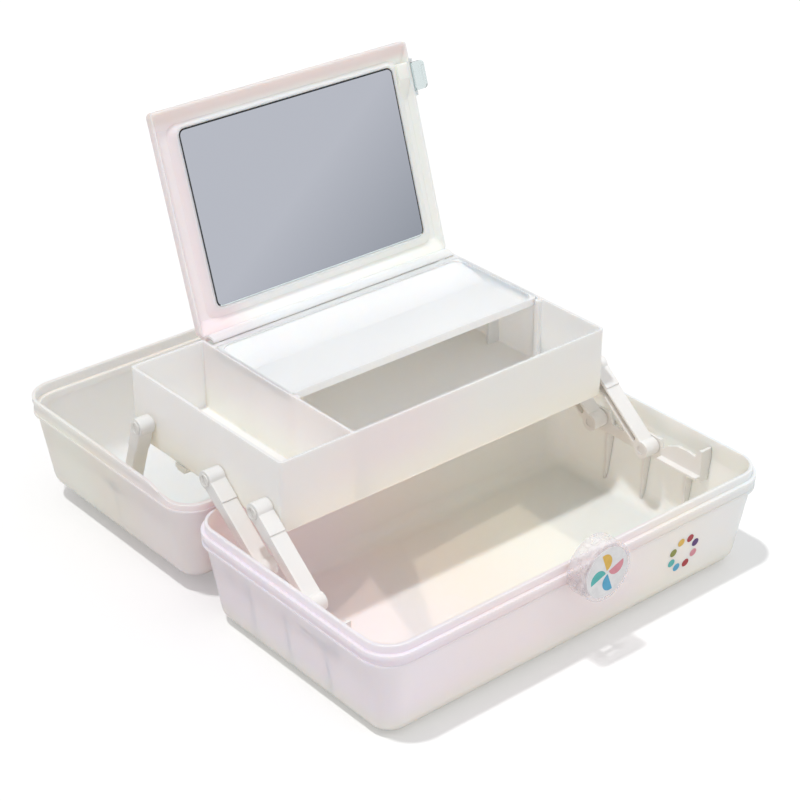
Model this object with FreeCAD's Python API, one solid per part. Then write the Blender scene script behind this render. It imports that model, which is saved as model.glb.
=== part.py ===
import FreeCAD, Part
import math
import os

# Vanity case, lying fully open. Millimetres, +X right, +Y back, +Z up.
# Origin: table level, middle of the length, under the cover hinge axis.

# overall
case_half = 165.0
case_depth = 194.4
hinge_gap = 2.2
corner_r = 22.0
shoulder_z = 68.5
hinge_z = 74.5
cover_bottom_z = 8.5
wall = 2.2
floor_t = 2.4

# rim details
belt_h = 9.3
skirt_h = 12.2
belt_step = 2.5
bead_h = 3.2
low_bead_h = 1.8
bead_recess = 0.9
low_bead_inset = 0.3
tongue_inset = 2.6
tongue_h = 5.6
tongue_t = 2.2
skirt_t = 2.3
ledge_w = 3.0
ledge_z = 73.6
foot_inset = 10.8
body_r_top = 20.0
body_r_low = 16.0
bottom_r = 14.0
inner_bottom_r = 12.0

# cover hinge
knuckle_r = 3.0
knuckle_len = 16.0
knuckle_gap = 0.4
knuckle_relief = 0.5
hinge_pin_r = 1.2
running = 0.05
hinge_x = 88.0
leaf_w = 30.0
leaf_len = 50.0
leaf_t = 1.6
dip_start = 14.0
dip_end = 46.0

# tray
tray_half = 137.7
tray_front = -66.4
tray_back = 95.6
tray_bottom = 80.8
tray_top = 132.4
tray_wall = 2.0
tray_corner = 3.0
divider_x = -80.0
shelf_front = -2.0
shelf_back = 79.5
shelf_depth = 5.0
shelf_slope = 34.0
shelf_t = 1.4
rib_mid_y = 36.0
rib_end_y = 70.0
rib_reach = 10.0

# arms
arm_in = 138.2
arm_out = 150.2
arm_len = 67.0
arm_angle = 38.5
arm_front_y = -105.5
arm_mid_y = -55.5
arm_base_z = 54.3
head_r = 6.2
arm_half_w = 3.8
collar_half_w = 4.6
collar_len = 19.0
channel_half_w = 2.2
channel_depth = 9.2
stud_r = 4.0
base_stud_r = 3.0
link_y = 73.6
link_z = 100.0
link_len = 51.5
link_angle = 109.3
link_in = 139.5
bracket_in = 150.8
bracket_out = 153.0

# lid
lid_axis_y = 91.65
lid_axis_z = 128.1
lid_open = 107.7
lid_left = -79.0
lid_right = 139.0
lid_front = -67.4
lid_rear = 85.6
lid_low = 132.6
lid_t = 7.0
panel_depth = 4.5
barrel_r = 3.2
rod_r = 1.5
hood_r = 7.4
hood_t = 1.8
hood_gap = 0.3
mirror_x0 = -60.4
mirror_x1 = 123.4
mirror_y0 = -52.4
mirror_y1 = 70.8
mirror_t = 1.6
mirror_edge = 0.3
frame_h = 3.4

# clasp on the lid's right edge
clasp_x = 141.0
clasp_z = 134.6
clasp_y0 = -51.2
clasp_y1 = -30.9
clasp_reach = 152.4
clasp_t = 2.0
catch_z = 126.6

# round latch
latch_r = 20.5
latch_z = 68.5
latch_front = -211.0
latch_rear = -197.0
latch_wall = 2.2
latch_pivot_y = -201.5
latch_pivot_z = 53.5
latch_pin_r = 1.5

# handle
lug_x = 52.0
handle_z = 56.0
handle_y = 199.0
handle_drop = 34.0
grip_y = 206.4
grip_r = 4.6
bail_half = 3.0
bail_eye_r = 4.2
peg_r = 3.0
peg_reach = 4.6

os.makedirs("parts", exist_ok=True)


def vec(x, y, z):
    return FreeCAD.Vector(x, y, z)


def box(x0, x1, y0, y1, z0, z1):
    return Part.makeBox(x1 - x0, y1 - y0, z1 - z0, vec(x0, y0, z0))


def rod_x(x0, x1, y, z, r):
    return Part.makeCylinder(r, x1 - x0, vec(x0, y, z), vec(1, 0, 0))


def prism_x(outline, x0, x1):
    points = [vec(x0, y, z) for y, z in outline]
    return Part.Face(Part.makePolygon(points + points[:1])).extrude(vec(x1 - x0, 0, 0))


def rod_y(y0, y1, x, z, r):
    return Part.makeCylinder(r, y1 - y0, vec(x, y0, z), vec(0, 1, 0))


def fuse(shapes):
    whole = shapes[0]
    for piece in shapes[1:]:
        whole = whole.fuse(piece)
    return whole.removeSplitter()


def rounded_wire(x0, x1, y0, y1, r, z):
    s = r * math.sin(math.radians(45))
    corners = (
        (x1 - r, y1 - r, 1, 1),
        (x0 + r, y1 - r, -1, 1),
        (x0 + r, y0 + r, -1, -1),
        (x1 - r, y0 + r, 1, -1),
    )
    arcs = []
    for cx, cy, sx, sy in corners:
        side = vec(cx + sx * r, cy, z)
        end = vec(cx, cy + sy * r, z)
        middle = vec(cx + sx * s, cy + sy * s, z)
        if sx * sy > 0:
            arcs.append((side, middle, end))
        else:
            arcs.append((end, middle, side))
    edges = []
    for index, (a, b, c) in enumerate(arcs):
        edges.append(Part.Arc(a, b, c).toShape())
        edges.append(Part.makeLine(c, arcs[(index + 1) % 4][0]))
    return Part.Wire(edges)


def slab(x0, x1, y0, y1, r, z0, z1):
    face = Part.Face(rounded_wire(x0, x1, y0, y1, r, z0))
    return face.extrude(vec(0, 0, z1 - z0))


def taper(outline, r0, z0, inset, r1, z1):
    x0, x1, y0, y1 = outline
    low = rounded_wire(x0 + inset, x1 - inset, y0 + inset, y1 - inset, r0, z0)
    high = rounded_wire(x0, x1, y0, y1, r1, z1)
    return Part.makeLoft([low, high], True, True)


def round_edges(shape, r, z, axis_index=2):
    picked = []
    for edge in shape.Edges:
        spots = [vertex.Point[axis_index] for vertex in edge.Vertexes]
        if all(abs(spot - z) < 1e-4 for spot in spots):
            picked.append(edge)
    return shape.makeFillet(r, picked)


def mirror_x(shape):
    return shape.mirror(vec(0, 0, 0), vec(1, 0, 0))


def turned(shape, y, z, angle):
    copy = shape.copy()
    copy.rotate(vec(0, y, z), vec(1, 0, 0), angle)
    return copy


nodes = {}


# tubs: a belted rim above a drafted wall with a large bottom radius
def tub_outline(y0, y1, inset):
    return (-case_half + inset, case_half - inset, y0 + inset, y1 - inset)


def tub_outer(y0, y1, rim_z, belt, bottom_z):
    belt_z = rim_z - belt
    bands = (
        (0.0, rim_z - bead_h, rim_z),
        (bead_recess, belt_z + low_bead_h, rim_z - bead_h),
        (low_bead_inset, belt_z, belt_z + low_bead_h),
    )
    solids = []
    for inset, z0, z1 in bands:
        solids.append(slab(*tub_outline(y0, y1, inset), corner_r - inset, z0, z1))
    draft = foot_inset - belt_step
    outline = tub_outline(y0, y1, belt_step)
    body = taper(outline, body_r_low, bottom_z, draft, body_r_top, belt_z)
    solids.append(round_edges(body, bottom_r, bottom_z))
    return fuse(solids)


def tub_inner(y0, y1, inset, r, belt_z, top_z, floor_z):
    draft = foot_inset + wall - 0.2 - inset
    outline = tub_outline(y0, y1, inset)
    body = taper(outline, body_r_low - wall, floor_z, draft, r, belt_z)
    body = round_edges(body, inner_bottom_r, floor_z)
    return fuse([body, slab(*outline, r, belt_z, top_z)])


front_y = -hinge_gap - case_depth
rear_y = hinge_gap + case_depth
tongue_top = shoulder_z + tongue_h
tongue_in = tongue_inset + tongue_t
above = 20.0

base_outer = tub_outer(front_y, -hinge_gap, shoulder_z, belt_h, 0.0)
tongue = slab(
    *tub_outline(front_y, -hinge_gap, tongue_inset),
    corner_r - tongue_inset,
    shoulder_z - belt_h,
    tongue_top,
)
base = base_outer.fuse(tongue).removeSplitter()
base = round_edges(base, 0.7, tongue_top)
base_room = tub_inner(
    front_y,
    -hinge_gap,
    tongue_in,
    corner_r - tongue_in,
    shoulder_z - belt_h,
    tongue_top + above,
    floor_t,
)
base = base.cut(base_room)

rim_z = 2 * hinge_z - shoulder_z
cover_outer = tub_outer(hinge_gap, rear_y, rim_z, skirt_h, cover_bottom_z)
skirt_room = slab(
    *tub_outline(hinge_gap, rear_y, skirt_t),
    corner_r - skirt_t,
    ledge_z,
    rim_z + above,
)
ledge_in = skirt_t + ledge_w
cover_room = tub_inner(
    hinge_gap,
    rear_y,
    ledge_in,
    corner_r - ledge_in,
    rim_z - skirt_h,
    ledge_z + 1.0,
    cover_bottom_z + floor_t,
)
cover = cover_outer.cut(fuse([skirt_room, cover_room]))


# the skirt drops to the hinge line near the hinge, in an S-curve
def dip_cutter():
    run = dip_end - dip_start
    rise = rim_z - hinge_z
    radius = (run * run + rise * rise) / (4 * rise)
    sweep = math.asin(run / 2 / radius)
    half = sweep / 2
    start = vec(-case_half - 10, dip_start, hinge_z)
    middle = start + vec(0, run / 2, rise / 2)
    end = start + vec(0, run, rise)
    low_mid = start + vec(0, radius * math.sin(half), radius * (1 - math.cos(half)))
    high_mid = end - vec(0, radius * math.sin(half), radius * (1 - math.cos(half)))
    left = vec(start.x, -10, hinge_z)
    edges = [
        Part.makeLine(left, start),
        Part.Arc(start, low_mid, middle).toShape(),
        Part.Arc(middle, high_mid, end).toShape(),
        Part.makeLine(end, vec(start.x, dip_end, rim_z + 8)),
        Part.makeLine(vec(start.x, dip_end, rim_z + 8), vec(start.x, -10, rim_z + 8)),
        Part.makeLine(vec(start.x, -10, rim_z + 8), left),
    ]
    return Part.Face(Part.Wire(edges)).extrude(vec(2 * case_half + 20, 0, 0))


cover = cover.cut(dip_cutter())

# steel hinge leaf: turns on the pin and hangs between the two rear walls
def hinge_leaf(x0, x1):
    shape = fuse([
        rod_x(x0, x1, 0, hinge_z, knuckle_r),
        box(x0, x1, -leaf_t / 2, leaf_t / 2, hinge_z - leaf_len, hinge_z),
    ])
    return shape.cut(rod_x(x0 - 1, x1 + 1, 0, hinge_z, hinge_pin_r + running))


# hinge knuckles: base, cover, base at each of two places, with a leaf on the inner side
web_reach = 5.5
web_low = shoulder_z - 2.5
web_top = hinge_z - 0.5
for middle in (-hinge_x, hinge_x):
    first = middle - 1.5 * knuckle_len - knuckle_gap
    for slot in range(3):
        x0 = first + slot * (knuckle_len + knuckle_gap)
        x1 = x0 + knuckle_len
        barrel = rod_x(x0, x1, 0, hinge_z, knuckle_r)
        if slot == 1:
            web = box(x0, x1, 0.2, web_reach, web_low, web_top)
            bore = rod_x(x0, x1, 0, hinge_z, hinge_pin_r + running)
            cover = cover.fuse(fuse([barrel, web])).cut(bore)
        else:
            web = box(x0, x1, -web_reach, -0.2, web_low, web_top)
            bore = rod_x(x0, x1, 0, hinge_z, hinge_pin_r + running)
            base = base.fuse(fuse([barrel, web])).cut(bore)
            relief_r = knuckle_r + knuckle_relief
            cover = cover.cut(rod_x(x0 - 0.3, x1 + 0.3, 0, hinge_z, relief_r))
    side = "left" if middle < 0 else "right"
    end = first + 3 * knuckle_len + 2 * knuckle_gap
    leaf_x0 = end + knuckle_gap if middle < 0 else first - knuckle_gap - leaf_w
    leaf_x1 = leaf_x0 + leaf_w
    cover = cover.cut(rod_x(leaf_x0 - 0.3, leaf_x1 + 0.3, 0, hinge_z, knuckle_r + knuckle_relief))
    nodes["hinge_leaf_" + side] = hinge_leaf(leaf_x0, leaf_x1)
    nodes["hinge_pin_" + side] = rod_x(min(first, leaf_x0), max(end, leaf_x1), 0, hinge_z, hinge_pin_r)

nodes["base_shell"] = base.removeSplitter()
nodes["cover_shell"] = cover.removeSplitter()


# brackets that carry the lower ends of the arms
def bracket():
    plate_low = 44.0
    end_y = -149.5
    outline = [
        (end_y, plate_low),
        (end_y, 68.0),
        (-147.0, 68.0),
        (-143.5, 61.5),
        (-136.0, 62.6),
        (-127.0, 62.2),
        (-118.0, 58.5),
        (-113.5, 54.3),
        (-112.0, 60.8),
        (-99.0, 60.8),
        (-94.0, 52.0),
        (-66.0, 52.0),
        (-62.0, 60.8),
        (-49.0, 60.8),
        (-40.0, 50.0),
        (-40.0, plate_low),
    ]
    points = [vec(bracket_in, y, z) for y, z in outline]
    plate = Part.Face(Part.makePolygon(points + points[:1]))
    solids = [plate.extrude(vec(bracket_out - bracket_in, 0, 0))]
    reach = case_half - 2.0
    solids.append(box(bracket_in, reach, end_y, end_y + 2.0, plate_low, 68.0))
    solids.append(box(bracket_in, reach, -42.0, -40.0, plate_low, 50.0))
    solids.append(box(bracket_in - 5.0, reach, end_y, -113.5, 47.4, 49.2))
    for leg_y in (-137.0, -98.0, -62.0):
        solids.append(box(bracket_in, reach, leg_y, leg_y + 2.0, 1.0, 50.0))
    for arm_y in (arm_front_y, arm_mid_y):
        solids.append(rod_x(arm_in + 0.4, bracket_in, arm_y, arm_base_z, base_stud_r))
        solids.append(rod_x(bracket_in, bracket_out + 1.4, arm_y, arm_base_z, 5.2))
    return fuse(solids).common(base_room)


right_bracket = bracket()
nodes["base_bracket_right"] = right_bracket
nodes["base_bracket_left"] = mirror_x(right_bracket)


# arms are channels, open to the tray, with a round head at each end
def arm(inner, y, z, length, angle, low_bore):
    solids = [
        box(inner, arm_out, 0, length, -arm_half_w, arm_half_w),
        box(inner, arm_out, length - collar_len, length, -collar_half_w, collar_half_w),
        rod_x(inner, arm_out, 0, 0, head_r),
        rod_x(inner, arm_out, length, 0, head_r),
    ]
    shape = fuse(solids)
    groove = slab(-channel_half_w, channel_half_w, 8.0, length - 9.5, 2.0, inner, arm_in + channel_depth)
    groove.rotate(vec(0, 0, 0), vec(0, 1, 0), 90)
    shape = shape.cut(groove)
    shape = shape.cut(rod_x(arm_in - 1, arm_out + 1, length, 0, stud_r + running))
    if low_bore:
        shape = shape.cut(rod_x(arm_in - 1, arm_out + 1, 0, 0, base_stud_r + running))
    else:
        shape = shape.cut(rod_x(arm_in - 1, inner + 3, 0, 0, base_stud_r))
    shape.translate(vec(0, y, z))
    return turned(shape, y, z, angle)


radians = math.radians(arm_angle)
reach_y = arm_len * math.cos(radians)
reach_z = arm_len * math.sin(radians)
arm_right = {
    "arm_front": arm(arm_in, arm_front_y, arm_base_z, arm_len, arm_angle, True),
    "arm_mid": arm(arm_in, arm_mid_y, arm_base_z, arm_len, arm_angle, True),
}
radians = math.radians(link_angle)
boss_y = link_y - link_len * math.cos(radians)
boss_z = link_z - link_len * math.sin(radians)
arm_right["link_back"] = arm(link_in, boss_y, boss_z, link_len, link_angle, False)
for name, shape in arm_right.items():
    nodes[name + "_right"] = shape
    nodes[name + "_left"] = mirror_x(shape)


# split studs on the tray that the arms turn on
def tray_stud(y, z):
    tip = arm_out + 0.9
    shape = fuse([
        rod_x(tray_half, tip, y, z, stud_r),
        rod_x(arm_out + 0.15, tip, y, z, stud_r + 0.5),
    ])
    slot = 0.5
    depth = 5.0
    far = stud_r + 1.0
    shape = shape.cut(box(tip - depth, tip + 1, y - far, y + far, z - slot, z + slot))
    return shape.cut(box(tip - depth, tip + 1, y - slot, y + slot, z - far, z + far))


stud_places = {
    "stud_front": (arm_front_y + reach_y, arm_base_z + reach_z),
    "stud_mid": (arm_mid_y + reach_y, arm_base_z + reach_z),
    "stud_back": (link_y, link_z),
}
for name, (y, z) in stud_places.items():
    stud = tray_stud(y, z)
    nodes[name + "_right"] = stud
    nodes[name + "_left"] = mirror_x(stud)


# bosses in the cover that face the far ends of the back links
def cover_boss():
    start = arm_out + 0.4
    reach = case_half - 2.0
    solids = [
        rod_x(start, reach, boss_y, boss_z, 5.2),
        box(start + 1.5, reach, boss_y - 1.0, boss_y + 1.0, cover_bottom_z + 1, boss_z),
        box(start + 1.5, reach, boss_y - 12, boss_y + 12, boss_z - 1.0, boss_z + 1.0),
    ]
    return fuse(solids).common(cover_room)


nodes["cover_boss_right"] = cover_boss()
nodes["cover_boss_left"] = mirror_x(nodes["cover_boss_right"])


# tray: left compartment, divider, deep compartment with ribs for the shelf
def tray():
    outer = slab(-tray_half, tray_half, tray_front, tray_back, tray_corner, tray_bottom, tray_top)
    outer = round_edges(outer, 2.4, tray_bottom)
    floor_z = tray_bottom + tray_wall
    inner_r = tray_corner - 1.5
    left = slab(
        -tray_half + tray_wall,
        divider_x - tray_wall / 2,
        tray_front + tray_wall,
        tray_back - tray_wall,
        inner_r,
        floor_z,
        tray_top + above,
    )
    left = round_edges(left, 1.4, floor_z)
    inner_right = tray_half - tray_wall
    inner_left = divider_x + tray_wall / 2
    right = slab(
        inner_left,
        inner_right,
        tray_front + tray_wall,
        tray_back - tray_wall,
        inner_r,
        floor_z,
        tray_top + above,
    )
    right = round_edges(right, 1.4, floor_z)
    body = outer.cut(left).cut(right)
    solids = [body]
    proud = 3.0
    rib_t = 2.0
    shelf_low = tray_top - shelf_depth - shelf_t
    post_y = (shelf_front - 5.0, shelf_front - 0.2)
    for x0, x1 in ((inner_left - 0.5, inner_left + proud), (inner_right - proud, inner_right + 0.5)):
        solids.append(box(x0, x1, *post_y, floor_z - 0.5, tray_top - 1.0))
    for x0, x1 in ((inner_left - 0.5, inner_left + rib_reach), (inner_right - rib_reach, inner_right + 0.5)):
        for rib_y in (rib_mid_y, rib_end_y):
            solids.append(box(x0, x1, rib_y, rib_y + rib_t, floor_z - 0.5, shelf_low))
    solids.append(box(
        inner_left - 0.5,
        inner_right + 0.5,
        shelf_back + shelf_t + 0.2,
        lid_axis_y,
        tray_top - wall,
        tray_top,
    ))
    catch_x = tray_half + 1.2
    solids.append(box(
        tray_half - 0.5, catch_x, clasp_y0 + 4, clasp_y1 - 4, catch_z, catch_z + 1.0
    ))
    return fuse(solids)


# lid hinge: three ears on the tray carry a rod, under a rolled hood on the lid
ear_len = 13.0
ear_starts = (-66.0, 12.0, 90.0)
knuckle_x = 0.4
lid_knuckle_len = 20.8
rod_x0 = -67.0
rod_x1 = 125.0
tray_inner_left = divider_x + tray_wall / 2
tray_inner_right = tray_half - tray_wall
hood_clear = rod_x(
    tray_inner_left, tray_inner_right, lid_axis_y, lid_axis_z, hood_r + hood_gap
)
tray_parts = [tray().cut(hood_clear)]
for start in ear_starts:
    end = start + ear_len
    tray_parts.append(rod_x(start, end, lid_axis_y, lid_axis_z, barrel_r))
    tray_parts.append(box(
        start, end, lid_axis_y - 1.7, tray_back, lid_axis_z - hood_r - 3.5, lid_axis_z
    ))
tray_body = fuse(tray_parts)
tray_bore = rod_x(rod_x0 - 5, rod_x1 + 5, lid_axis_y, lid_axis_z, rod_r + running)
nodes["tray_shell"] = tray_body.cut(tray_bore)
nodes["lid_rod"] = rod_x(rod_x0, rod_x1, lid_axis_y, lid_axis_z, rod_r)


# small clips under the tray's end walls
def tray_clip():
    x1 = tray_half - 0.4
    stem = box(x1 - 2.4, x1, 37.0, 49.0, tray_bottom - 3.4, tray_bottom)
    hook = box(x1 - 5.0, x1, 39.0, 47.0, tray_bottom - 4.8, tray_bottom - 3.4)
    return fuse([stem, hook])


nodes["tray_clip_right"] = tray_clip()
nodes["tray_clip_left"] = mirror_x(nodes["tray_clip_right"])


# shelf: a shallow dish that drops into the back of the tray, with a gentle slope up to its rear edge
def shelf():
    x0 = divider_x + tray_wall / 2 + 0.1
    x1 = tray_half - tray_wall - 0.1
    low = tray_top - shelf_depth
    rear = shelf_back + shelf_t
    plate = slab(x0, x1, shelf_front, rear, 3.0, low - shelf_t, tray_top)
    plate = round_edges(plate, 2.0, low - shelf_t)
    inner = slab(
        x0 + shelf_t, x1 - shelf_t, shelf_front + shelf_t, shelf_back, 8.0, low, tray_top + above
    )
    inner = round_edges(inner, 4.0, low)
    slope = prism_x([
        (shelf_back - shelf_slope, low - 0.2),
        (rear - 0.2, low - 0.2),
        (rear - 0.2, tray_top - 1.0),
        (shelf_back, tray_top - 1.0),
    ], x0 + 0.2, x1 - 0.2)
    return fuse([plate.cut(inner), slope])


nodes["tray_shelf"] = shelf()


# lid, drawn shut: a shallow pan, a raised mirror surround, and a hood over its hinge
def around_hinge(angle, r):
    radians = math.radians(angle)
    return (lid_axis_y + r * math.cos(radians), lid_axis_z + r * math.sin(radians))


lid_high = lid_low + lid_t
panel_z = lid_low + panel_depth


def lid_pan():
    block = slab(lid_left, lid_right, lid_front, lid_rear, 3.0, lid_low, lid_high)
    block = round_edges(block, 2.0, lid_high)
    rim = 1.4
    low = rounded_wire(
        lid_left + rim, lid_right - rim, lid_front + rim, lid_rear - 0.8, 2.0, lid_low - 0.01
    )
    high = rounded_wire(
        lid_left + 4.5, lid_right - 4.5, lid_front + 13.5, lid_rear - 9.5, 2.0, panel_z
    )
    return block.cut(Part.makeLoft([low, high], True, True))


def mirror_frame():
    wide = rounded_wire(
        mirror_x0 - 7.6, mirror_x1 + 7.6, mirror_y0 - 4.6, mirror_y1 + 7.6, 8.0, panel_z + 0.1
    )
    narrow = rounded_wire(
        mirror_x0 - 1.6, mirror_x1 + 1.6, mirror_y0 - 1.6, mirror_y1 + 1.6, 6.4, panel_z - frame_h
    )
    frame = Part.makeLoft([narrow, wide], True, True)
    return frame.cut(slab(
        mirror_x0, mirror_x1, mirror_y0, mirror_y1, 5.0, panel_z - frame_h - 1, panel_z
    ))


def lid_hood():
    x0 = tray_inner_left + 2.4
    x1 = tray_inner_right - 0.4
    ring = rod_x(x0, x1, lid_axis_y, lid_axis_z, hood_r)
    ring = ring.cut(rod_x(x0 - 1, x1 + 1, lid_axis_y, lid_axis_z, hood_r - hood_t))
    fan = [(lid_axis_y, lid_axis_z)]
    fan += [around_hinge(angle, 30.0) for angle in (112, 145, 180, 215, 250)]
    ring = ring.common(prism_x(fan, x0, x1))
    heel = prism_x([
        (lid_rear - 1.0, lid_low),
        (lid_rear - 1.0, lid_high - 1.0),
        (lid_rear + 0.9, lid_high - 1.0),
        around_hinge(110, hood_r + 0.2),
        around_hinge(120, hood_r - hood_t + 0.2),
        around_hinge(137, hood_r - hood_t + 0.2),
        around_hinge(142, hood_r),
    ], x0, x1)
    solids = [ring, heel]
    for start in ear_starts:
        left = start + ear_len + knuckle_x
        right = left + lid_knuckle_len
        solids.append(rod_x(left, right, lid_axis_y, lid_axis_z, barrel_r))
        solids.append(box(
            left, right, lid_axis_y - hood_r + 1, lid_axis_y - 1, lid_axis_z - 1.2, lid_axis_z + 1.2
        ))
    return fuse(solids).cut(rod_x(x0 - 1, x1 + 1, lid_axis_y, lid_axis_z, rod_r + running))


def clasp_seat():
    solids = [prism_x([
        (clasp_y0 - 1.2, lid_low + 0.4),
        (clasp_y1 - 10.5, lid_low + 0.4),
        (clasp_y1 + 3.5, panel_z),
        (clasp_y0 - 1.2, panel_z),
    ], lid_right - 11.5, lid_right - 1.0)]
    for ear_y in (clasp_y0 - 3.2, clasp_y1 + 0.2):
        solids.append(rod_y(ear_y, ear_y + 3.0, clasp_x, clasp_z, 1.7))
        solids.append(box(
            lid_right - 1.0, clasp_x, ear_y, ear_y + 3.0, clasp_z - 1.7, clasp_z + 1.7
        ))
    return fuse(solids).cut(rod_y(clasp_y0 - 5, clasp_y1 + 5, clasp_x, clasp_z, 0.8))


def opened(shape):
    return turned(shape, lid_axis_y, lid_axis_z, -lid_open)


pan = lid_pan().fuse(mirror_frame())
nodes["lid_panel"] = opened(fuse([pan, lid_hood(), clasp_seat()]))
mirror_back = panel_z - frame_h + 0.4 + mirror_t
nodes["mirror_pad"] = opened(slab(
    mirror_x0 + 4, mirror_x1 - 4, mirror_y0 + 4, mirror_y1 - 4, 3.0, mirror_back, panel_z
))
nodes["mirror"] = opened(slab(
    mirror_x0 + mirror_edge,
    mirror_x1 - mirror_edge,
    mirror_y0 + mirror_edge,
    mirror_y1 - mirror_edge,
    4.7,
    mirror_back - mirror_t,
    mirror_back,
))


# clear clasp: a flap that folds down over the tray's end wall
def clasp():
    plate = slab(
        clasp_x, clasp_reach, clasp_y0, clasp_y1, 3.5, clasp_z - clasp_t / 2, clasp_z + clasp_t / 2
    )
    square = box(clasp_x, clasp_x + 4, clasp_y0, clasp_y1, clasp_z - clasp_t / 2, clasp_z + clasp_t / 2)
    barrel = rod_y(clasp_y0, clasp_y1, clasp_x, clasp_z, 1.6)
    tooth = box(
        clasp_reach - 3.2, clasp_reach - 1.6, clasp_y0 + 3.5, clasp_y1 - 3.5,
        clasp_z - clasp_t / 2 - 1.0, clasp_z,
    )
    shape = fuse([plate, square, barrel, tooth])
    return shape.cut(rod_y(clasp_y0 - 1, clasp_y1 + 1, clasp_x, clasp_z, 0.8 + running))


nodes["clasp_flap"] = opened(clasp())
nodes["clasp_pin"] = opened(rod_y(clasp_y0 - 3.2, clasp_y1 + 3.2, clasp_x, clasp_z, 0.8))


# round latch: a clear drum that turns on a pin near its lower edge
def drum():
    depth = latch_rear - latch_front
    body = rod_y(latch_front, latch_rear, 0, latch_z, latch_r)
    front_edges = [edge for edge in body.Edges if abs(edge.BoundBox.YMax - latch_front) < 1e-4]
    body = body.makeFillet(1.8, front_edges)
    room = rod_y(latch_front + 2.4, latch_rear + 1, 0, latch_z, latch_r - latch_wall)
    body = body.cut(room)
    body = body.cut(rod_y(latch_front - 1, latch_front + 0.7, 0, latch_z, latch_r - 3.0))
    lugs = []
    for x0 in (-10.6, 8.6):
        lugs.append(box(
            x0, x0 + 2.0, latch_front + 2.0, latch_rear - 1.6, latch_pivot_z - 3.4, latch_pivot_z + 3.4
        ))
    inside = rod_y(latch_front, latch_front + depth, 0, latch_z, latch_r - 0.5)
    body = body.cut(box(-8.5, 8.5, latch_pivot_y - 3.7, latch_rear + 1, 40.0, latch_pivot_z + 3.7))
    body = body.fuse(fuse(lugs).common(inside))
    bore = rod_x(-12.0, 12.0, latch_pivot_y, latch_pivot_z, latch_pin_r + running)
    return body.cut(bore)


nodes["latch_drum"] = drum()
nodes["latch_badge"] = rod_y(latch_front + 0.1, latch_front + 0.7, 0, latch_z, latch_r - 3.2)
nodes["latch_pin"] = rod_x(-10.6, 10.6, latch_pivot_y, latch_pivot_z, latch_pin_r)


def latch_mount():
    solids = []
    for x0 in (-8.2, 5.2):
        solids.append(rod_x(x0, x0 + 3.0, latch_pivot_y, latch_pivot_z, 3.2))
        solids.append(box(
            x0, x0 + 3.0, latch_pivot_y, latch_rear + 12, latch_pivot_z - 3.2, latch_pivot_z + 3.2
        ))
    shape = fuse(solids).cut(rod_x(-12, 12, latch_pivot_y, latch_pivot_z, latch_pin_r))
    return shape.cut(base_outer)


nodes["latch_mount"] = latch_mount()

# keeper on the cover's far wall, where the latch hooks on
keeper = box(-7.0, 7.0, rear_y - 6.0, rear_y + 3.8, 63.8, 70.5)
nodes["keeper"] = keeper.cut(cover_outer)


# carrying handle: a bail on two lugs, hanging
def handle_lug(x):
    half = 4.0
    block = fuse([
        rod_x(x - half, x + half, handle_y, handle_z, 5.0),
        box(x - half, x + half, handle_y - 14, handle_y, handle_z - 5.0, handle_z + 5.0),
    ])
    block = block.cut(rod_x(x - half - 1, x + half + 1, handle_y, handle_z, peg_r + running))
    return block.cut(cover_outer)


nodes["handle_lug_left"] = handle_lug(-lug_x)
nodes["handle_lug_right"] = handle_lug(lug_x)


def bail():
    arm_x = lug_x - 9.0
    low = handle_z - handle_drop
    solids = [
        rod_x(-arm_x - bail_half, arm_x + bail_half, grip_y, low, grip_r),
    ]
    lean = math.atan2(grip_y - handle_y, handle_drop)
    length = handle_drop / math.cos(lean)
    for side in (-1, 1):
        x0 = side * arm_x - bail_half
        x1 = side * arm_x + bail_half
        strap = box(x0, x1, handle_y - bail_half, handle_y + bail_half, handle_z - length, handle_z)
        solids.append(turned(strap, handle_y, handle_z, math.degrees(lean)))
        solids.append(rod_x(x0, x1, handle_y, handle_z, bail_eye_r))
        peg_end = side * (lug_x + peg_reach)
        peg_start = side * arm_x
        solids.append(rod_x(min(peg_start, peg_end), max(peg_start, peg_end), handle_y, handle_z, peg_r))
    return fuse(solids)


nodes["handle_bail"] = bail()

for name, shape in nodes.items():
    shape.exportStep("parts/" + name + ".step")
    print(name, len(shape.Solids), shape.isValid())
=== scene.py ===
import bpy, math
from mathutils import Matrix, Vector


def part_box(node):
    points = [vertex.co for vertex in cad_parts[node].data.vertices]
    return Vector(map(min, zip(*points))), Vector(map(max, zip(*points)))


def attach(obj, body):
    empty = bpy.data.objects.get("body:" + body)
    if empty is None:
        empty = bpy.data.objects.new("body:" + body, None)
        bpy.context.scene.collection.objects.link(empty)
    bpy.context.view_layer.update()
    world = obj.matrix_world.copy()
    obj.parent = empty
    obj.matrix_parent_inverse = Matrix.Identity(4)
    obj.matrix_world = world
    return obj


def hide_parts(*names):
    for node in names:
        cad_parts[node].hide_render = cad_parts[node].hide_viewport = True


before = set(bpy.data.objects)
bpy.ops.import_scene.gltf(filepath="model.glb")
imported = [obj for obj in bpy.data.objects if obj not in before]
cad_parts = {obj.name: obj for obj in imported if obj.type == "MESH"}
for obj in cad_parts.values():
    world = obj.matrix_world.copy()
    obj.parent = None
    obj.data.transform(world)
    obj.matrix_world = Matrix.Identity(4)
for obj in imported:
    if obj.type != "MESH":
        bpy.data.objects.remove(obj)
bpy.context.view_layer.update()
print("frame loaded:", len(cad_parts), "nodes")

mm = 0.001
quarterTurn = math.radians(90)
caseHalf = 165 * mm  # half the case's width
weld = 0.002 * mm    # points closer than this are merged


# node helpers for the finishes
def addNode(tree, kind, **values):
    node = tree.nodes.new(kind)
    for key, value in values.items():
        setattr(node, key, value)
    return node


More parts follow.
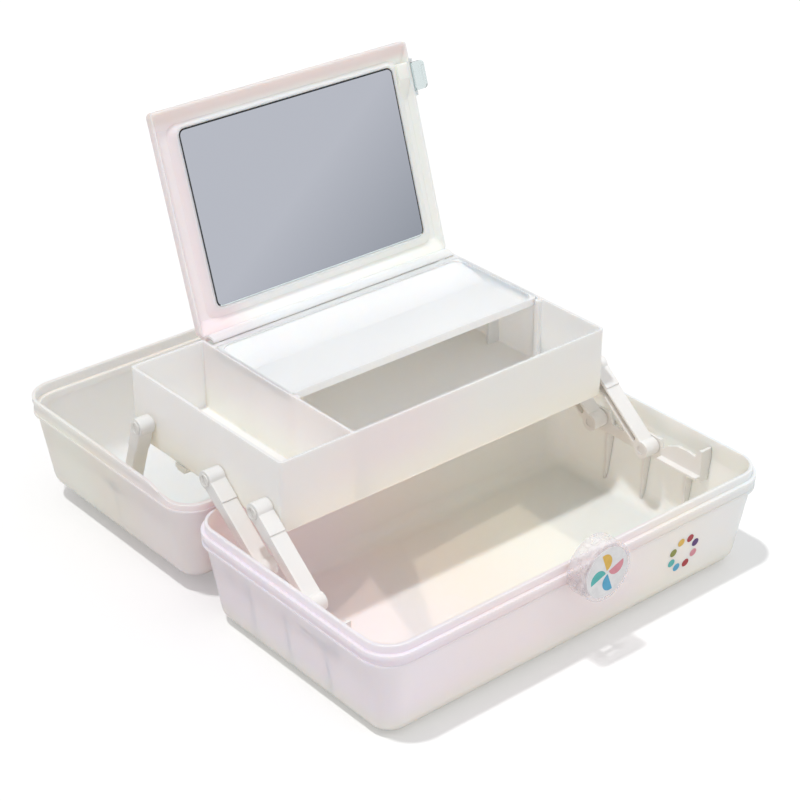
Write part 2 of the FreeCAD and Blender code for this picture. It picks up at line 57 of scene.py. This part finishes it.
# a socket takes either another node's output or a plain value
def plug(tree, value, socket):
    if isinstance(value, bpy.types.NodeSocket):
        tree.links.new(value, socket)
    elif socket.type == "RGBA":
        socket.default_value = (*value, 1.0)
    else:
        socket.default_value = value


def addMath(tree, operation, *values, clamp=False):
    node = addNode(tree, "ShaderNodeMath", operation=operation, use_clamp=clamp)
    for socket, value in zip(node.inputs, values):
        plug(tree, value, socket)
    return node.outputs["Value"]


def addVectorMath(tree, operation, first, second):
    node = addNode(tree, "ShaderNodeVectorMath", operation=operation)
    plug(tree, first, node.inputs[0])
    plug(tree, second, node.inputs[1])
    return node.outputs["Value" if operation == "DOT_PRODUCT" else "Vector"]


def addNoise(tree, where, scale, detail=3.0):
    noise = addNode(tree, "ShaderNodeTexNoise")
    noise.inputs["Scale"].default_value = scale
    noise.inputs["Detail"].default_value = detail
    tree.links.new(where, noise.inputs["Vector"])
    return noise.outputs["Fac"]


def mapRange(tree, value, low, high, toLow=0.0, toHigh=1.0, smooth=True):
    node = addNode(tree, "ShaderNodeMapRange", clamp=True)
    node.interpolation_type = "SMOOTHSTEP" if smooth else "LINEAR"
    for key, number in (("From Min", low), ("From Max", high), ("To Min", toLow), ("To Max", toHigh)):
        node.inputs[key].default_value = number
    tree.links.new(value, node.inputs["Value"])
    return node.outputs["Result"]


def mixColour(tree, factor, first, second):
    node = addNode(tree, "ShaderNodeMix", data_type="RGBA")
    sockets = (node.inputs[0], node.inputs[6], node.inputs[7])  # the factor and the two colours
    for socket, value in zip(sockets, (factor, first, second)):
        plug(tree, value, socket)
    return node.outputs[2]


# stops: place along the ramp -> name of a tint
def ramp(tree, value, stops):
    node = addNode(tree, "ShaderNodeValToRGB")
    node.color_ramp.interpolation = "EASE"
    elements = node.color_ramp.elements
    while len(elements) > 1:
        elements.remove(elements[-1])
    for index, (place, name) in enumerate(stops.items()):
        element = elements[0] if index == 0 else elements.new(place)
        element.position = place
        element.color = (*tint[name], 1.0)
    tree.links.new(value, node.inputs["Fac"])
    return node.outputs["Color"]


def addBump(tree, shader, height, strength, depth):
    bump = addNode(tree, "ShaderNodeBump")
    bump.inputs["Strength"].default_value = strength
    bump.inputs["Distance"].default_value = depth * mm
    tree.links.new(height, bump.inputs["Height"])
    tree.links.new(bump.outputs["Normal"], shader.inputs["Normal"])
    return bump


# a value that wavers about its middle where a noise runs from low to high
def addWaver(tree, noise, socket, middle, wear):
    wavering = mapRange(tree, noise, wear["low"], wear["high"], middle - wear["less"], middle + wear["more"])
    tree.links.new(wavering, socket)


def newMaterial(name, roughness, coat=0.0, coatRoughness=0.12):
    material = bpy.data.materials.new(name)
    material.use_nodes = True
    shader = material.node_tree.nodes["Principled BSDF"]
    shader.inputs["Roughness"].default_value = roughness
    shader.inputs["Coat Weight"].default_value = coat
    shader.inputs["Coat Roughness"].default_value = coatRoughness
    return material, material.node_tree, shader


def scaled(colour, share):
    return tuple(min(1.0, channel * share) for channel in colour)


tint = {
    "lilac": (0.96, 0.84, 0.94),
    "blush": (0.93, 0.81, 0.83),
    "rose": (0.95, 0.82, 0.83),
    "tan": (0.94, 0.84, 0.77),
    "cream": (0.93, 0.90, 0.81),
    "sand": (0.91, 0.84, 0.79),
    "mint": (0.89, 0.90, 0.86),
    "aqua": (0.82, 0.87, 0.89),
    "white": (0.96, 0.95, 0.93),
    "chalk": (0.88, 0.865, 0.845),
    # painted shade for the open lid's downward-facing top slope
    "paintedShade": (0.84, 0.76, 0.75),
    "mist": (0.86, 0.85, 0.84),
}

# pearly plastic that light sinks into; lengths in mm
pearl = {
    "roughness": 0.36, "coat": 0.2,
    "cloud": 7.0, "cloudDetail": 1.5, "drift": 0.14,  # how the tints wander
    "grain": 40.0, "wear": {"low": 0.3, "high": 0.75, "less": 0.05, "more": 0.07},
    "pits": 1500.0, "pitDetail": 2.0, "pitStrength": 0.1, "pitDepth": 0.1,
    "edge": 0.6, "edgeSamples": 4,  # softened corners
    "glow": (1.0, 0.84, 0.72), "glowReach": 6.0,
    "innerBlend": 1.0,  # how softly the inner tints begin
}


# marks the faces that look towards a tub's middle, where the inner tints paint the shade and glow inside the
# tub
def innerShadeMask(tree, texture, middle):
    towards = addVectorMath(tree, "SUBTRACT", middle, texture.outputs["Object"])
    facing = addVectorMath(tree, "DOT_PRODUCT", towards, texture.outputs["Normal"])
    return mapRange(tree, facing, -pearl["innerBlend"] * mm, pearl["innerBlend"] * mm)


# the tints drift along one axis over a span; the inner tints go on the faces that look to the middle and are
# painted shade and glow of the inside; band is a tint that is full at one height and gone at another
def pearlPlastic(name, stops, axis="X", span=(-caseHalf, caseHalf), paintedInnerShade=None, middle=None, band=None,
                 roughness=pearl["roughness"], depth=1.0):
    material, tree, shader = newMaterial(name, roughness, pearl["coat"])
    texture = addNode(tree, "ShaderNodeTexCoord")
    coords = texture.outputs["Object"]
    split = addNode(tree, "ShaderNodeSeparateXYZ")
    tree.links.new(coords, split.inputs["Vector"])
    along = mapRange(tree, split.outputs[axis], span[0], span[1], smooth=False)
    cloud = addNoise(tree, coords, pearl["cloud"], pearl["cloudDetail"])
    wandering = addMath(tree, "MULTIPLY_ADD", cloud, pearl["drift"], along)
    centred = addMath(tree, "SUBTRACT", wandering, pearl["drift"] / 2)
    colour = ramp(tree, centred, stops)
    if band:
        fading = mapRange(tree, split.outputs["Z"], band["full"], band["gone"])
        colour = mixColour(tree, fading, tint[band["tint"]], colour)
    if paintedInnerShade:
        colour = mixColour(tree, innerShadeMask(tree, texture, middle), colour, ramp(tree, centred, paintedInnerShade))
    tree.links.new(colour, shader.inputs["Base Color"])
    grain = addNoise(tree, coords, pearl["grain"])
    addWaver(tree, grain, shader.inputs["Roughness"], roughness, pearl["wear"])
    pits = addNoise(tree, coords, pearl["pits"], pearl["pitDetail"])
    bump = addBump(tree, shader, pits, pearl["pitStrength"], pearl["pitDepth"])
    rounded = addNode(tree, "ShaderNodeBevel", samples=pearl["edgeSamples"])
    rounded.inputs["Radius"].default_value = pearl["edge"] * mm
    tree.links.new(rounded.outputs["Normal"], bump.inputs["Normal"])
    shader.inputs["Subsurface Weight"].default_value = depth
    shader.inputs["Subsurface Radius"].default_value = pearl["glow"]
    shader.inputs["Subsurface Scale"].default_value = pearl["glowReach"] * mm
    return material


# spans, middles and heights are in metres, in the frame's own axes
# the inner tints below are painted shade and glow on the inside faces of the tubs
basePearl = pearlPlastic(
    "basePearl", {0.0: "lilac", 0.28: "blush", 0.6: "blush", 0.75: "sand", 0.87: "mist", 1.0: "aqua"},
    paintedInnerShade={0.0: "rose", 0.25: "rose", 0.5: "tan", 0.72: "cream", 1.0: "mint"}, middle=(0.0, -0.1, 0.045),
    band={"tint": "cream", "full": 0.0, "gone": 0.03})
coverPearl = pearlPlastic(
    "coverPearl", {0.0: "rose", 0.2: "rose", 0.5: "tan", 0.7: "cream", 1.0: "sand"},
    axis="Y", span=(0.0, 0.2), paintedInnerShade={0.0: "cream", 0.3: "white", 1.0: "white"}, middle=(0.0, 0.1, 0.05))
innerWhite = pearlPlastic("innerWhite", {0.0: "white", 1.0: "white"}, roughness=0.4)
# the grey mist at the tray's left end is painted shade on its shaded left side
trayWhite = pearlPlastic(
    "trayWhite", {0.0: "mist", 0.12: "mist", 0.35: "blush", 0.6: "mint", 1.0: "mist"},
    paintedInnerShade={0.0: "white", 1.0: "white"}, middle=(0.0, -0.02, 0.12),
    band={"tint": "cream", "full": 0.082, "gone": 0.115}, roughness=0.35)
armWhite = pearlPlastic("armWhite", {0.0: "chalk", 1.0: "chalk"}, depth=0.3)
# the lid's band is painted shade, darker at the top where its slope faces down
lidWhite = pearlPlastic(
    "lidWhite", {0.0: "blush", 0.3: "blush", 0.45: "white", 1.0: "mint"},
    band={"tint": "paintedShade", "full": 0.272, "gone": 0.264}, roughness=0.35)


# mirror silver with a painted reflection: a cool grey that deepens to the right and low down
silverAndReflection = {
    "pale": (0.50, 0.52, 0.58), "deep": (0.32, 0.345, 0.395),
    "across": (-0.06, 0.12), "up": (0.15, 0.26),
    "roughness": 0.03, "smear": 14.0, "wear": {"low": 0.3, "high": 0.75, "less": 0.01, "more": 0.03},
}


def mirrorSilverAndReflection():
    material, tree, shader = newMaterial("mirrorSilverAndReflection", silverAndReflection["roughness"])
    shader.inputs["Metallic"].default_value = 1.0
    coords = addNode(tree, "ShaderNodeTexCoord").outputs["Object"]
    split = addNode(tree, "ShaderNodeSeparateXYZ")
    tree.links.new(coords, split.inputs["Vector"])
    across = mapRange(tree, split.outputs["X"], *silverAndReflection["across"], smooth=False)
    up = mapRange(tree, split.outputs["Z"], *silverAndReflection["up"], smooth=False)
    # painted reflection: darker to the right and low down
    paintedReflectionFade = addMath(tree, "SUBTRACT", across, up, clamp=True)
    colour = mixColour(tree, paintedReflectionFade, silverAndReflection["pale"], silverAndReflection["deep"])
    tree.links.new(colour, shader.inputs["Base Color"])
    smear = addNoise(tree, coords, silverAndReflection["smear"])
    addWaver(tree, smear, shader.inputs["Roughness"], silverAndReflection["roughness"], silverAndReflection["wear"])
    return material


# plain finish for pins, pads and inks, and for the mirror's edges painted dark and pale as reflections
plain = {
    "grain": 180.0, "grainDetail": 4.0, "darker": 0.85, "darkFrom": 0.35, "darkTo": 0.7, "darkMost": 0.6,
    "wear": {"low": 0.3, "high": 0.7, "less": 0.04, "more": 0.08},
    "pits": 900.0, "pitStrength": 0.1, "pitDepth": 0.1,
}


def plainFinish(name, colour, roughness, metallic=0.0):
    material, tree, shader = newMaterial(name, roughness)
    shader.inputs["Metallic"].default_value = metallic
    coords = addNode(tree, "ShaderNodeTexCoord").outputs["Object"]
    grain = addNoise(tree, coords, plain["grain"], plain["grainDetail"])
    shade = mapRange(tree, grain, plain["darkFrom"], plain["darkTo"], 0.0, plain["darkMost"])
    mottled = mixColour(tree, shade, colour, scaled(colour, plain["darker"]))
    tree.links.new(mottled, shader.inputs["Base Color"])
    addWaver(tree, grain, shader.inputs["Roughness"], roughness, plain["wear"])
    addBump(tree, shader, addNoise(tree, coords, plain["pits"]), plain["pitStrength"], plain["pitDepth"])
    return material


# clear moulding of the clasp flap
clear = {
    "colour": (0.86, 0.97, 0.97), "paler": 1.06, "index": 1.46, "roughness": 0.06,
    "grain": 60.0, "grainDetail": 2.0, "wear": {"low": 0.3, "high": 0.7, "less": 0.02, "more": 0.05},
    "waves": 300.0, "waveStrength": 0.05, "waveDepth": 0.2,
}


def clearPlastic(name):
    material, tree, shader = newMaterial(name, clear["roughness"])
    shader.inputs["Transmission Weight"].default_value = 1.0
    shader.inputs["IOR"].default_value = clear["index"]
    coords = addNode(tree, "ShaderNodeTexCoord").outputs["Object"]
    grain = addNoise(tree, coords, clear["grain"], clear["grainDetail"])
    colour = mixColour(tree, grain, clear["colour"], scaled(clear["colour"], clear["paler"]))
    tree.links.new(colour, shader.inputs["Base Color"])
    addWaver(tree, grain, shader.inputs["Roughness"], clear["roughness"], clear["wear"])
    addBump(tree, shader, addNoise(tree, coords, clear["waves"]), clear["waveStrength"], clear["waveDepth"])
    return material


# clear moulding of the latch drum: a see-through skin with fine facets that catch the light
facet = {
    "colour": (0.95, 0.91, 0.93), "paler": 1.05, "roughness": 0.08, "coat": 1.0, "cells": 1300.0,
    "alpha": 0.32, "cloud": 200.0, "wear": {"low": 0.4, "high": 0.6, "less": 0.05, "more": 0.08},
    "facetStrength": 0.4, "facetDepth": 0.3,
}


def facetPlastic(name):
    material, tree, shader = newMaterial(name, facet["roughness"], facet["coat"])
    coords = addNode(tree, "ShaderNodeTexCoord").outputs["Object"]
    cells = addNode(tree, "ShaderNodeTexVoronoi")
    cells.inputs["Scale"].default_value = facet["cells"]
    tree.links.new(coords, cells.inputs["Vector"])
    distance = cells.outputs["Distance"]
    colour = mixColour(tree, distance, scaled(facet["colour"], facet["paler"]), facet["colour"])
    tree.links.new(colour, shader.inputs["Base Color"])
    cloud = addNoise(tree, coords, facet["cloud"])
    addWaver(tree, cloud, shader.inputs["Alpha"], facet["alpha"], facet["wear"])
    addBump(tree, shader, distance, facet["facetStrength"], facet["facetDepth"])
    return material


silver = mirrorSilverAndReflection()
padGrey = plainFinish("padGrey", (0.35, 0.35, 0.37), roughness=0.7)
pinSteel = plainFinish("pinSteel", (0.72, 0.72, 0.73), roughness=0.3, metallic=1.0)
clearAqua = clearPlastic("clearAqua")
clearRose = facetPlastic("clearRose")
# the mirror's edges: painted dark reflection and painted bright reflection
paintedDarkReflection = plainFinish("paintedDarkReflection", (0.02, 0.022, 0.028), roughness=0.15)
paintedBrightReflection = plainFinish("paintedBrightReflection", (0.80, 0.90, 0.92), roughness=0.12)
studWhite = plainFinish("studWhite", (0.86, 0.84, 0.81), roughness=0.4)
badgeWhite = plainFinish("badgeWhite", (0.88, 0.87, 0.88), roughness=0.35)
inkColours = {
    "inkPink": (0.78, 0.30, 0.36),
    "inkAmber": (0.83, 0.52, 0.09),
    "inkTeal": (0.10, 0.52, 0.50),
    "inkBlue": (0.09, 0.42, 0.66),
    "inkPlum": (0.10, 0.03, 0.18),
    "inkRed": (0.45, 0.03, 0.04),
    "inkOlive": (0.28, 0.30, 0.05),
}
inks = {name: plainFinish(name, colour, roughness=0.4) for name, colour in inkColours.items()}
print("finishes made")

# finish of each node, for both sides at once; brackets, arms, links and studs are armWhite
worn = {
    "base_shell": basePearl, "latch_mount": basePearl,
    "cover_shell": coverPearl, "cover_boss": coverPearl, "keeper": coverPearl,
    "handle_lug": coverPearl, "handle_bail": coverPearl,
    "tray_shell": trayWhite, "tray_clip": trayWhite, "tray_shelf": innerWhite,
    "lid_panel": lidWhite, "mirror": silver, "mirror_pad": padGrey,
    "clasp_flap": clearAqua, "latch_drum": clearRose, "latch_badge": badgeWhite,
    "lid_rod": pinSteel, "clasp_pin": pinSteel, "latch_pin": pinSteel,
    "hinge_pin": pinSteel, "hinge_leaf": pinSteel,
}
for node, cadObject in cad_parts.items():
    material = worn.get(node.removesuffix("_left").removesuffix("_right"), armWhite)
    for holder in cadObject.material_slots:
        holder.material = material
print("nodes finished")


# modelling helpers for the pieces made here
def selectOnly(*pieces):
    bpy.ops.object.select_all(action="DESELECT")
    for piece in pieces:
        piece.select_set(True)
    bpy.context.view_layer.objects.active = pieces[0]


def startPiece(name, adder, **values):
    bpy.ops.object.select_all(action="DESELECT")
    adder(**values)
    piece = bpy.context.object
    piece.name = name
    return piece


# puts a piece's place, turn and scale into its mesh
def settle(piece):
    selectOnly(piece)
    bpy.ops.object.transform_apply(location=True, rotation=True, scale=True)


def clearPicks(kind):
    bpy.ops.object.mode_set(mode="EDIT")
    bpy.ops.mesh.select_mode(type=kind)
    bpy.ops.mesh.select_all(action="DESELECT")
    bpy.ops.object.mode_set(mode="OBJECT")


# both pickers leave the piece in edit mode
def pickUprightEdges(piece):
    clearPicks("EDGE")
    points = piece.data.vertices
    for edge in piece.data.edges:
        ends = [points[index].co for index in edge.vertices]
        edge.select = looks(ends[1] - ends[0], (0, 0, 1)) or looks(ends[0] - ends[1], (0, 0, 1))
    bpy.ops.object.mode_set(mode="EDIT")


def pickFaces(piece, direction):
    clearPicks("FACE")
    for face in piece.data.polygons:
        face.select = looks(face.normal, direction)
    bpy.ops.object.mode_set(mode="EDIT")


def looks(vector, direction, least=0.9):
    return vector.normalized().dot(Vector(direction)) > least


def tidyMesh():
    bpy.ops.object.mode_set(mode="EDIT")
    bpy.ops.mesh.select_all(action="SELECT")
    bpy.ops.mesh.remove_doubles(threshold=weld)
    bpy.ops.mesh.normals_make_consistent(inside=False)
    bpy.ops.object.mode_set(mode="OBJECT")


def joined(name, parts):
    selectOnly(*parts)
    bpy.ops.object.join()
    piece = bpy.context.object
    piece.name = name
    tidyMesh()
    return piece


# mirror glass, in mm as it lies with the lid shut: a plate with rounded corners and a silvered face that
# stands proud of its edge; the edge is painted black as a dark reflection, with a band on the hinge side
# painted pale as a bright reflection; the plate is turned open about the lid's axis
mirrorPlate = {
    "left": -60.1, "right": 123.1, "front": -52.1, "rear": 70.5, "low": 134.1, "high": 135.7,
    "corner": 4.7, "cornerSteps": 8, "edge": 1.0, "proud": 0.2, "brightReflectionBand": 1.2,
    "axisY": 91.65, "axisZ": 128.1, "open": -107.7,
}


def makeMirror():
    plate = mirrorPlate
    spans = (("left", "right"), ("front", "rear"), ("low", "high"))
    middle = [(plate[start] + plate[end]) / 2 * mm for start, end in spans]
    piece = startPiece("mirrorGlass", bpy.ops.mesh.primitive_cube_add, size=1, location=middle)
    piece.scale = [(plate[end] - plate[start]) * mm for start, end in spans]
    settle(piece)
    pickUprightEdges(piece)
    bpy.ops.mesh.bevel(offset=plate["corner"] * mm, segments=plate["cornerSteps"], affect="EDGES")
    pickFaces(piece, (0, 0, -1))
    bpy.ops.mesh.inset(thickness=plate["edge"] * mm)
    bpy.ops.transform.translate(value=(0, 0, -plate["proud"] * mm))
    bpy.ops.object.mode_set(mode="OBJECT")
    silverSlot, darkReflectionSlot, brightReflectionSlot = 0, 1, 2
    for material in (silver, paintedDarkReflection, paintedBrightReflection):
        piece.data.materials.append(material)
    # edge faces take the painted dark reflection, the hinge-side band the painted bright reflection
    for face in piece.data.polygons:
        if looks(face.normal, (0, 0, -1), least=0.999):
            face.material_index = silverSlot
        elif face.center.y > (plate["rear"] - plate["brightReflectionBand"]) * mm:
            face.material_index = brightReflectionSlot
        else:
            face.material_index = darkReflectionSlot
    tidyMesh()
    centre = Vector((0, plate["axisY"] * mm, plate["axisZ"] * mm))
    piece.rotation_euler = (math.radians(plate["open"]), 0, 0)
    piece.location = centre - piece.rotation_euler.to_matrix() @ centre
    settle(piece)
    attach(piece, "lid")
    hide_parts("mirror")


# stud heads, in mm: a stem that widens to a dished face with one slanted slot
studForm = {
    "length": 14.1, "headDepth": 0.75, "stemRadius": 4.0, "headRadius": 4.5, "steps": 48,
    "rim": 0.9, "dish": 0.35, "slotWide": 1.2, "slotDeep": 2.2, "slotLong": 6.6, "slant": -58.0,
}


def makeStud(node, side):
    form = studForm
    low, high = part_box(node)
    y = (low[1] + high[1]) / 2
    z = (low[2] + high[2]) / 2
    tip = max(-low[0], high[0])
    neck = tip - form["headDepth"] * mm
    root = tip - form["length"] * mm
    piece = startPiece(node + "Head", bpy.ops.mesh.primitive_cylinder_add, vertices=form["steps"],
                       radius=form["stemRadius"] * mm, depth=neck - root,
                       location=(side * (root + neck) / 2, y, z), rotation=(0, quarterTurn, 0))
    settle(piece)
    grow = form["headRadius"] / form["stemRadius"]
    pickFaces(piece, (side, 0, 0))
    bpy.ops.mesh.extrude_region_move()
    bpy.ops.transform.resize(value=(1, grow, grow), center_override=(0, y, z))
    bpy.ops.mesh.extrude_region_move(TRANSFORM_OT_translate={"value": (side * (tip - neck), 0, 0)})
    bpy.ops.mesh.inset(thickness=form["rim"] * mm)
    bpy.ops.mesh.extrude_region_move(TRANSFORM_OT_translate={"value": (-side * form["dish"] * mm, 0, 0)})
    tidyMesh()
    cutter = startPiece("slotCutter", bpy.ops.mesh.primitive_cube_add, size=1, location=(side * tip, y, z),
                        rotation=(math.radians(form["slant"]) * side, 0, 0))
    cutter.scale = (2 * form["slotDeep"] * mm, form["slotLong"] * mm, form["slotWide"] * mm)
    settle(cutter)
    slot = piece.modifiers.new("slot", "BOOLEAN")
    slot.operation = "DIFFERENCE"
    slot.solver = "EXACT"
    slot.object = cutter
    selectOnly(piece)
    bpy.ops.object.modifier_apply(modifier="slot")
    bpy.data.objects.remove(cutter)
    piece.data.materials.append(studWhite)
    tidyMesh()
    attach(piece, "tray")
    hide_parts(node)


# badge motif, in mm: half discs set like a pinwheel on the front of the badge
badge = {
    "y": -210.9, "z": 68.5, "radius": 6.4, "reach": 7.8, "steps": 48, "lift": 0.06, "start": 20.0,
    "inks": ("inkPink", "inkAmber", "inkTeal", "inkBlue"),
}


def makeBadgeMotif():
    parts = []
    for index, ink in enumerate(badge["inks"]):
        angle = math.radians(badge["start"] + 360 / len(badge["inks"]) * index)
        x = badge["reach"] * math.cos(angle) * mm
        y = (badge["y"] - badge["lift"] / 2) * mm
        z = (badge["z"] + badge["reach"] * math.sin(angle)) * mm
        piece = startPiece("motif", bpy.ops.mesh.primitive_cylinder_add, vertices=badge["steps"],
                           radius=badge["radius"] * mm, depth=badge["lift"] * mm,
                           location=(x, y, z), rotation=(quarterTurn, 0, 0))
        settle(piece)
        bpy.ops.object.mode_set(mode="EDIT")
        bpy.ops.mesh.select_all(action="SELECT")
        bpy.ops.mesh.bisect(plane_co=(x, y, z), plane_no=(math.sin(angle), 0, -math.cos(angle)),
                            use_fill=True, clear_inner=True)
        bpy.ops.object.mode_set(mode="OBJECT")
        piece.data.materials.append(inks[ink])
        parts.append(piece)
    return joined("badgeMotif", parts)


# front wall print, in mm: a ring of small dots laid on the drafted wall from a plane in front of it
dotRing = {
    "x": 92.0, "z": 33.5, "radius": 11.0, "start": 22.5, "dot": 3.0, "steps": 32,
    "plane": -210.0, "lift": 0.05,
    "inks": ("inkPlum", "inkRed", "inkAmber", "inkOlive", "inkTeal", "inkBlue", "inkRed", "inkPink"),
}


def makeDots():
    parts = []
    for index, ink in enumerate(dotRing["inks"]):
        angle = math.radians(dotRing["start"] + 360 / len(dotRing["inks"]) * index)
        place = ((dotRing["x"] + dotRing["radius"] * math.cos(angle)) * mm, dotRing["plane"] * mm,
                 (dotRing["z"] + dotRing["radius"] * math.sin(angle)) * mm)
        piece = startPiece("dot", bpy.ops.mesh.primitive_circle_add, vertices=dotRing["steps"],
                           radius=dotRing["dot"] * mm, fill_type="NGON", location=place,
                           rotation=(quarterTurn, 0, 0))
        settle(piece)
        cling = piece.modifiers.new("cling", "SHRINKWRAP")
        cling.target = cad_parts["base_shell"]
        cling.wrap_method = "PROJECT"
        cling.use_project_y = True
        cling.use_positive_direction = True
        cling.offset = dotRing["lift"] * mm
        bpy.ops.object.modifier_apply(modifier="cling")
        film = piece.modifiers.new("film", "SOLIDIFY")
        film.thickness = dotRing["lift"] * mm
        bpy.ops.object.modifier_apply(modifier="film")
        piece.data.materials.append(inks[ink])
        parts.append(piece)
    return joined("frontDots", parts)


makeMirror()
print("mirror made")
for side, word in ((-1, "left"), (1, "right")):
    for place in ("front", "mid", "back"):
        makeStud("stud_" + place + "_" + word, side)
print("studs made")
for makePrint, body in ((makeBadgeMotif, "latch"), (makeDots, "base")):
    printed = makePrint()
    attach(printed, body)
print("motif and dots made")


# floor, light and camera; sizes and places in metres; the sky brightens from dim to bright towards one side
studio = {
    "floorSize": 60.0, "floorColour": (0.7, 0.7, 0.7), "floorRoughness": 0.9,
    "lift": 0.275,  # glow of the floor that only the camera sees
    "sun": 1.65, "sunSize": 3.0, "sunFrom": (-0.25, 0.05, 1.0),
    "towards": (0.75, -0.65, -0.1), "skyFrom": -0.6, "skyTo": 0.8, "dim": 0.37, "bright": 0.95,
}
plainWhite = (1.0, 1.0, 1.0)


def makeFloor():
    bpy.ops.mesh.primitive_plane_add(size=studio["floorSize"], location=(0, 0, 0))
    floor = bpy.context.object
    floor.name = "floor"
    material, tree, shader = newMaterial("floorPaper", studio["floorRoughness"])
    shader.inputs["Specular IOR Level"].default_value = 0.0
    seen = addNode(tree, "ShaderNodeLightPath").outputs["Is Camera Ray"]
    plug(tree, studio["floorColour"], shader.inputs["Base Color"])
    plug(tree, plainWhite, shader.inputs["Emission Color"])
    plug(tree, addMath(tree, "MULTIPLY", seen, studio["lift"]), shader.inputs["Emission Strength"])
    floor.data.materials.append(material)


# sky: brighter towards the front right, plain white to the camera
def makeWorld():
    world = bpy.data.worlds.new("studioWorld")
    bpy.context.scene.world = world
    world.use_nodes = True
    tree = world.node_tree
    background = tree.nodes["Background"]
    gaze = addNode(tree, "ShaderNodeTexCoord").outputs["Generated"]
    facing = addVectorMath(tree, "DOT_PRODUCT", gaze, studio["towards"])
    sky = mapRange(tree, facing, studio["skyFrom"], studio["skyTo"], studio["dim"], studio["bright"],
                   smooth=False)
    level = addNode(tree, "ShaderNodeMix", data_type="FLOAT")  # factor at input 0, levels at 2 and 3
    plug(tree, addNode(tree, "ShaderNodeLightPath").outputs["Is Camera Ray"], level.inputs[0])
    plug(tree, sky, level.inputs[2])
    plug(tree, 1.0, level.inputs[3])
    plug(tree, level.outputs[0], background.inputs["Strength"])
    plug(tree, plainWhite, background.inputs["Color"])


def makeSun():
    bpy.ops.object.light_add(type="SUN", location=studio["sunFrom"])
    sun = bpy.context.object
    sun.name = "keySun"
    sun.data.energy = studio["sun"]
    sun.data.angle = math.radians(studio["sunSize"])
    sun.rotation_mode = "QUATERNION"
    sun.rotation_quaternion = Vector(studio["sunFrom"]).to_track_quat("Z", "Y")


# camera: place in metres, degrees it aims below level and round from straight back, lens and sensor in mm
view = {
    "place": (-0.7882, -0.9511, 0.7917), "below": 29.32, "round": -40.1,
    "sensor": 36.0, "lens": 95.3, "farthest": 100.0,
}


def makeCamera():
    turn = (math.radians(90 - view["below"]), 0, math.radians(view["round"]))
    bpy.ops.object.camera_add(location=view["place"], rotation=turn)
    camera = bpy.context.object
    camera.data.sensor_width = view["sensor"]
    camera.data.lens = view["lens"]
    camera.data.clip_end = view["farthest"]
    bpy.context.scene.camera = camera


# pale walls pass light on many times, so the rooms need many bounces
bounces = {
    "max_bounces": 20, "diffuse_bounces": 14, "transmission_bounces": 12, "transparent_max_bounces": 16,
}
for key, count in bounces.items():
    setattr(bpy.context.scene.cycles, key, count)
bpy.context.scene.view_settings.view_transform = "Standard"
makeFloor()
makeWorld()
makeSun()
makeCamera()
print("studio made")
